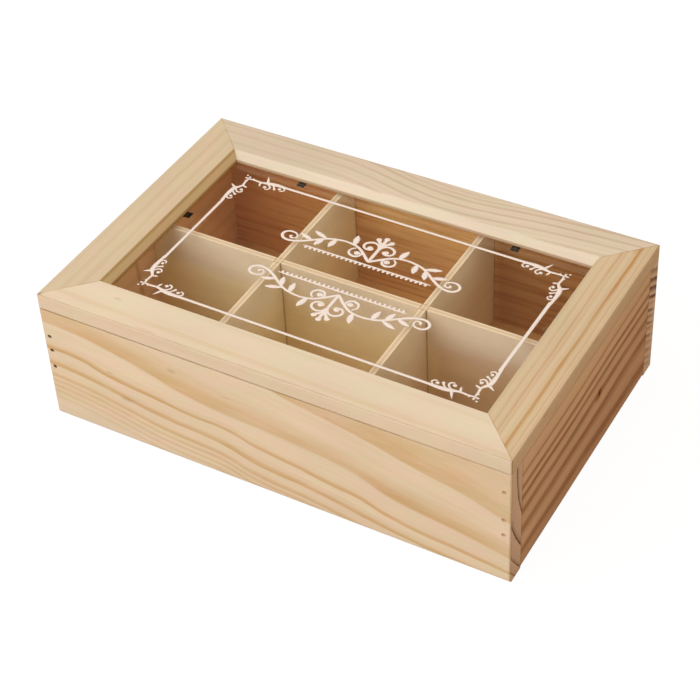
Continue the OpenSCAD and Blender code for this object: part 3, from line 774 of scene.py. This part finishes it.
def clear_glass():
    """Clear float glass; lamplight and the light inside the box pass straight through it."""
    pane = Finish("clear glass")
    pane.skin.inputs["Base Color"].default_value = (1.0, 0.995, 0.985, 1.0)
    pane.skin.inputs["Transmission Weight"].default_value = 1.0
    pane.skin.inputs["IOR"].default_value = 1.5
    pane.skin.inputs["Roughness"].default_value = 0.0
    path = pane.add("ShaderNodeLightPath")
    open_way = pane.add("ShaderNodeBsdfTransparent")
    open_way.inputs["Color"].default_value = (0.98, 0.965, 0.94, 1.0)
    both = pane.add("ShaderNodeMixShader")
    lamp_or_bounce = pane.larger(path.outputs["Is Shadow Ray"], path.outputs["Is Diffuse Ray"])
    pane.join(lamp_or_bounce, both.inputs[0])
    pane.join(pane.skin.outputs[0], both.inputs[1])
    pane.join(open_way.outputs[0], both.inputs[2])
    pane.join(both.outputs[0], pane.out.inputs["Surface"])
    return pane


clear_glass().wear_on("glass_pane")


# --------------------------------------------------------------- printed border

# where the print's middle lies, its small turn in radians, and the border's middle from there
PRINT_X = 1.43
PRINT_Y = -1.35
PRINT_TURN = -0.008
BORDER_X = 0.24
BORDER_Y = -0.83
INK_Z = GLASS_TOP_Z + 0.03
INK_FLATNESS = 0.02
FLOURISH_WIDTH = 0.986
FLOURISH_DROP = 0.35
BEAD_PITCH = 2.45
BEADS_EACH_WAY = 13


def stroke(print_curve, points, closed=False):
    """One brush stroke: points are (x, y, half width) in mm about the middle of the print."""
    spline = print_curve.splines.new("BEZIER")
    spline.bezier_points.add(len(points) - 1)
    for knot, (x, y, half) in zip(spline.bezier_points, points):
        knot.co = ((PRINT_X + x - PRINT_TURN * y) * MM, (PRINT_Y + y + PRINT_TURN * x) * MM, 0.0)
        knot.radius = half
        knot.handle_left_type = knot.handle_right_type = "AUTO"
    spline.use_cyclic_u = closed
    spline.resolution_u = 5


def leaf(tip, base, half):
    """A leaf from its base on the stem to its tip."""
    (ax, ay), (bx, by) = tip, base
    return [(bx, by, 0.3), (bx + (ax - bx) * 0.3, by + (ay - by) * 0.3, half * 0.9),
            (bx + (ax - bx) * 0.62, by + (ay - by) * 0.62, half),
            (bx + (ax - bx) * 0.88, by + (ay - by) * 0.88, half * 0.5), (ax, ay, 0.12)]


def dot(x, y, half):
    return [(x - half * 0.95, y, half * 0.25), (x - half * 0.55, y, half * 0.82), (x, y, half),
            (x + half * 0.55, y, half * 0.82), (x + half * 0.95, y, half * 0.25)]


def flourish():
    """The right half of the upper flourish, from the middle stem outwards."""
    return [
        # arm and outer curl
        [(0.1, 14.0, 0.75), (2.2, 15.8, 0.85), (5.4, 18.6, 0.8), (8.8, 21.0, 0.75),
         (12.2, 22.3, 0.7), (16.5, 22.8, 0.6), (21, 22.3, 0.65), (25.5, 21.0, 0.7),
         (29.5, 18.6, 0.75), (33.2, 16.0, 0.8), (37, 13.6, 0.8), (41, 12.0, 0.75),
         (44.8, 11.9, 0.75), (47.2, 13.6, 0.8), (47.6, 15.8, 0.8), (46, 17.7, 0.7),
         (43.4, 18.1, 0.6), (41.0, 17.2, 0.55), (40.2, 15.4, 0.5), (41.2, 14.0, 0.5),
         (42.9, 14.2, 0.7), (43.2, 15.5, 0.9)],
        # curl below the arm
        [(7.0, 19.6, 0.5), (5.9, 18.2, 0.6), (6.1, 16.2, 0.7), (7.7, 14.9, 0.75),
         (9.9, 14.9, 0.75), (11.8, 16.2, 0.7), (12.2, 18.2, 0.6), (11.2, 19.9, 0.5),
         (10.2, 20.4, 0.4)],
        dot(8.1, 17.5, 1.6),
        # curl beside the stem
        [(0.3, 24.6, 0.6), (1.4, 26.6, 0.65), (3.6, 27.8, 0.7), (6.3, 27.2, 0.75),
         (7.9, 25.2, 0.75), (7.4, 23.0, 0.7), (5.4, 22.0, 0.6), (3.4, 22.3, 0.5),
         (2.6, 23.6, 0.45)],
        dot(4.3, 23.5, 1.5),
        # side ball of the palmette
        [(0.2, 26.8, 0.7), (1.3, 28.4, 0.85), (2.9, 30.0, 0.95), (3.5, 30.8, 1.0)],
        dot(3.5, 30.9, 1.45),
        leaf((13.9, 29.2), (12.0, 22.2), 1.75),
        leaf((22.9, 15.4), (21.8, 22.3), 1.7),
        leaf((34.6, 23.4), (26.6, 20.8), 1.35),
        leaf((29.9, 13.8), (27.6, 20.0), 1.6),
        leaf((39.6, 18.9), (32.6, 16.7), 1.35),
    ]


def corner(reach_x, reach_y):
    """One corner ornament, out from where the two thin stems cross."""
    arm = [
        [(0.0, 0.0, 0.5), (3.5, -0.2, 0.6), (7.0, 0.0, 0.65), (8.8, -0.3, 0.8), (11.0, -0.9, 1.2),
         (14.0, -1.35, 1.3), (17.0, -1.5, 1.1), (21.0, -1.4, 0.85), (24.0, -1.4, 0.72)],
        leaf((7.9, 3.1), (6.8, 0.1), 0.6),
        [(10.6, -0.8, 0.8), (9.6, -2.8, 0.7), (8.2, -5.3, 0.2)],
        [(10.8, -0.2, 0.4), (12.6, 0.9, 0.5), (13.4, 2.4, 0.5), (12.7, 3.6, 0.45),
         (11.2, 3.9, 0.4)],
        dot(10.7, 2.6, 1.0),
        [(13.8, -0.4, 0.4), (15.1, 0.8, 0.5),
         (15.8, 1.9, 0.6)], dot(15.9, 2.0, 0.8), [(19.6, -0.8, 0.4), (20.8, 0.4, 0.45),
         (20.2, 1.7, 0.45), (18.8, 2.0, 0.35)],
        dot(18.2, 0.8, 0.95),
        [(2.8, 0.0, 0.35), (2.2, -1.2, 0.45)],
    ]
    tips = [dot(-2.0, -2.2, 0.6), [(-2.2, -0.2, 0.5), (0.4, -0.1, 0.5)]]
    centre_x, centre_y = -85.3, 45.5
    # the arm down the side is a little shorter, and bends outwards past its thorn
    side_length, bend, bend_from, bend_over = 0.87, 1.4, 7.5, 3.5
    strokes = []
    for marks in arm + tips:
        strokes.append([(centre_x + u, centre_y - v, w) for u, v, w in marks])
    for marks in arm + tips[1:]:
        strokes.append([(centre_x + v - bend * min(max((u - bend_from) / bend_over, 0.0), 1.0),
                         centre_y - u * side_length, w) for u, v, w in marks])
    return [[(BORDER_X + x * reach_x, BORDER_Y + y * reach_y, w) for x, y, w in marks]
            for marks in strokes]


def printed_border():
    """White ink on the glass: a ruled border, corner ornaments and two flourishes."""
    bpy.ops.object.select_all(action="DESELECT")
    bpy.ops.curve.primitive_bezier_curve_add()
    ink = bpy.context.object
    ink.name = "printed_border"
    curve = ink.data
    curve.splines.clear()
    curve.dimensions = "3D"
    curve.bevel_depth = MM
    curve.bevel_resolution = 1
    curve.use_fill_caps = True
    side_x, side_y = 87.7, 46.9
    # the right side line was printed broader than the left
    for way, side_half in ((-1, 0.78), (1, 0.92)):
        front_y, across_x = BORDER_Y + side_y * way, BORDER_X + side_x * way
        stroke(curve, [(-63, front_y, 0.8), (0, front_y, 0.77), (63, front_y, 0.82)])
        stroke(curve, [(across_x, -27, side_half + 0.06), (across_x, 0, side_half),
                       (across_x, 25, side_half + 0.06)])
        # beaded line
        line_y = 11.25 * way
        stroke(curve, [(-34, line_y, 0.2), (-31, line_y, 0.5), (31, line_y, 0.5),
                       (34, line_y, 0.2)])
        for bead in range(-BEADS_EACH_WAY, BEADS_EACH_WAY + 1):
            mid = bead * BEAD_PITCH
            stroke(curve, [(mid + 0.1, line_y - 0.2 * way, 0.75), (mid, line_y - 0.8 * way, 0.8),
                           (mid - 0.15, line_y - 1.3 * way, 0.68),
                           (mid - 0.25, line_y - 1.75 * way, 0.25)])
        # stem and top ball
        stroke(curve, [(0, 13.2 * way, 0.6), (0, 17 * way, 0.95), (0, 24 * way, 0.9),
                       (0, 28 * way, 0.9), (0, 31.5 * way, 1.0)])
        stroke(curve, [(x, y * way, w) for x, y, w in dot(0, 32.3, 1.5)])
        for side in (-1, 1):
            for marks in flourish():
                stroke(curve, [(x * FLOURISH_WIDTH * side, (y - FLOURISH_DROP) * way, w)
                               for x, y, w in marks])
            for marks in corner(side, way):
                stroke(curve, marks)
    bpy.ops.object.convert(target="MESH")
    ink = bpy.context.object
    for corner_point in ink.data.vertices:
        corner_point.co.z = corner_point.co.z * INK_FLATNESS + INK_Z * MM
    bpy.ops.object.mode_set(mode="EDIT")
    bpy.ops.mesh.select_all(action="SELECT")
    bpy.ops.mesh.normals_make_consistent(inside=False)
    bpy.ops.object.mode_set(mode="OBJECT")
    white = Finish("white ink")
    grain = white.noise(white.place, 2.2, 3.0)
    fade = white.span(grain, 0.35, 0.7)
    white.join(white.blend(fade, paint(244, 237, 233), paint(232, 222, 218)),
               white.skin.inputs["Base Color"])
    white.join(white.span(grain, 0.3, 0.7, 0.4, 0.55), white.skin.inputs["Roughness"])
    white.relief(grain, 0.01, 0.3)
    ink.data.materials.clear()
    ink.data.materials.append(white.material)
    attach(ink, "lid")


printed_border()


# ---------------------------------------------------------------------- studio


def white_paper():
    """Paper that shows white to the eye and keeps a soft shadow under the box, and that
    throws a warm, dimmer light back on it."""
    glow_strength, glow_share = 1.02, 0.94
    paper = bpy.data.materials.new("white paper")
    paper.use_nodes = True
    tree = paper.node_tree
    tree.nodes.remove(tree.nodes["Principled BSDF"])
    path = tree.nodes.new("ShaderNodeLightPath")
    seen = tree.nodes.new("ShaderNodeMath")
    seen.operation = "MAXIMUM"
    seen_through = tree.nodes.new("ShaderNodeMath")
    seen_through.operation = "MAXIMUM"
    glow = tree.nodes.new("ShaderNodeEmission")
    dull = tree.nodes.new("ShaderNodeBsdfDiffuse")
    dull.inputs["Color"].default_value = (0.5, 0.42, 0.33, 1.0)
    bright = tree.nodes.new("ShaderNodeBsdfDiffuse")
    bright.inputs["Color"].default_value = (1.0, 1.0, 1.0, 1.0)
    both = tree.nodes.new("ShaderNodeMixShader")
    lit = tree.nodes.new("ShaderNodeMixShader")
    glow.inputs["Strength"].default_value = glow_strength
    both.inputs[0].default_value = glow_share
    links = tree.links
    links.new(path.outputs["Is Camera Ray"], seen.inputs[0])
    links.new(path.outputs["Is Glossy Ray"], seen.inputs[1])
    links.new(seen.outputs[0], seen_through.inputs[0])
    links.new(path.outputs["Is Transmission Ray"], seen_through.inputs[1])
    links.new(bright.outputs[0], both.inputs[1])
    links.new(glow.outputs[0], both.inputs[2])
    links.new(seen_through.outputs[0], lit.inputs[0])
    links.new(dull.outputs[0], lit.inputs[1])
    links.new(both.outputs[0], lit.inputs[2])
    links.new(lit.outputs[0], tree.nodes["Material Output"].inputs["Surface"])
    return paper


def sweep():
    bpy.ops.object.select_all(action="DESELECT")
    bpy.ops.mesh.primitive_plane_add(size=8.0, location=(0, 0, 0))
    floor = bpy.context.object
    floor.name = "paper_floor"
    bpy.ops.object.transform_apply(location=True)
    floor.data.materials.append(white_paper())


def turned_to(aim, azimuth, height, distance, roll=0.0):
    """A place that looks at aim; azimuth runs from the front towards the right, in degrees
    as height is."""
    turn = (Matrix.Rotation(math.radians(azimuth), 4, "Z")
            @ Matrix.Rotation(math.radians(90 - height), 4, "X")
            @ Matrix.Rotation(roll, 4, "Z"))
    return Matrix.Translation(Vector(aim) + turn.to_3x3() @ Vector((0, 0, distance))) @ turn


def lamp(name, aim, azimuth, height, distance, size, power, colour):
    """A square soft lamp that shows in no reflection."""
    data = bpy.data.lights.new(name, "AREA")
    data.shape = "SQUARE"
    data.size = size
    data.energy = power
    data.color = colour
    lamp_object = bpy.data.objects.new(name, data)
    bpy.context.scene.collection.objects.link(lamp_object)
    lamp_object.visible_glossy = False
    lamp_object.matrix_world = turned_to(aim, azimuth, height, distance)


def studio():
    """Cool daylight from the upper left in front, and the warm fill of a room."""
    sweep()
    lamp("window lamp", aim=(0, 0, 0.03), azimuth=-38, height=46, distance=1.7, size=1.8,
         power=20, colour=(0.9, 0.96, 1.0))
    world = bpy.data.worlds.new("studio")
    bpy.context.scene.world = world
    world.use_nodes = True
    tree = world.node_tree
    links = tree.links
    room = tree.nodes["Background"]
    room.inputs["Color"].default_value = (0.77, 0.63, 0.50, 1.0)
    white = tree.nodes.new("ShaderNodeBackground")
    white.inputs["Color"].default_value = (1.0, 1.0, 1.0, 1.0)
    # what gloss and glass show: the white sweep low down, the dim room above it
    where = tree.nodes.new("ShaderNodeTexCoord")
    axes = tree.nodes.new("ShaderNodeSeparateXYZ")
    links.new(where.outputs["Generated"], axes.inputs[0])
    rise = tree.nodes.new("ShaderNodeValToRGB")
    rise.color_ramp.elements[0].position = 0.25
    rise.color_ramp.elements[0].color = (1.0, 1.0, 1.0, 1.0)
    rise.color_ramp.elements[1].position = 0.5
    rise.color_ramp.elements[1].color = (0.16, 0.14, 0.11, 1.0)
    links.new(axes.outputs[2], rise.inputs[0])
    shine = tree.nodes.new("ShaderNodeBackground")
    links.new(rise.outputs[0], shine.inputs["Color"])
    path = tree.nodes.new("ShaderNodeLightPath")
    polished = tree.nodes.new("ShaderNodeMath")
    polished.operation = "MAXIMUM"
    links.new(path.outputs["Is Glossy Ray"], polished.inputs[0])
    links.new(path.outputs["Is Transmission Ray"], polished.inputs[1])
    gloss = tree.nodes.new("ShaderNodeMixShader")
    links.new(polished.outputs[0], gloss.inputs[0])
    links.new(room.outputs[0], gloss.inputs[1])
    links.new(shine.outputs[0], gloss.inputs[2])
    both = tree.nodes.new("ShaderNodeMixShader")
    links.new(path.outputs["Is Camera Ray"], both.inputs[0])
    links.new(gloss.outputs[0], both.inputs[1])
    links.new(white.outputs[0], both.inputs[2])
    links.new(both.outputs[0], tree.nodes["World Output"].inputs["Surface"])
    bpy.context.scene.view_settings.view_transform = "Standard"


def camera():
    """Stands the camera where the picture was taken."""
    data = bpy.data.cameras.new("camera")
    data.sensor_width = 36.0
    data.lens = 94.616
    data.shift_x = 0.00103
    data.shift_y = -0.07327
    data.clip_start = 0.01
    eye = bpy.data.objects.new("camera", data)
    bpy.context.scene.collection.objects.link(eye)
    eye.matrix_world = turned_to(aim=(-0.013811, 0.01878, 0.035), azimuth=31.3014,
                                 height=39.6717, distance=0.887365, roll=-0.05558)
    bpy.context.scene.camera = eye


studio()
camera()
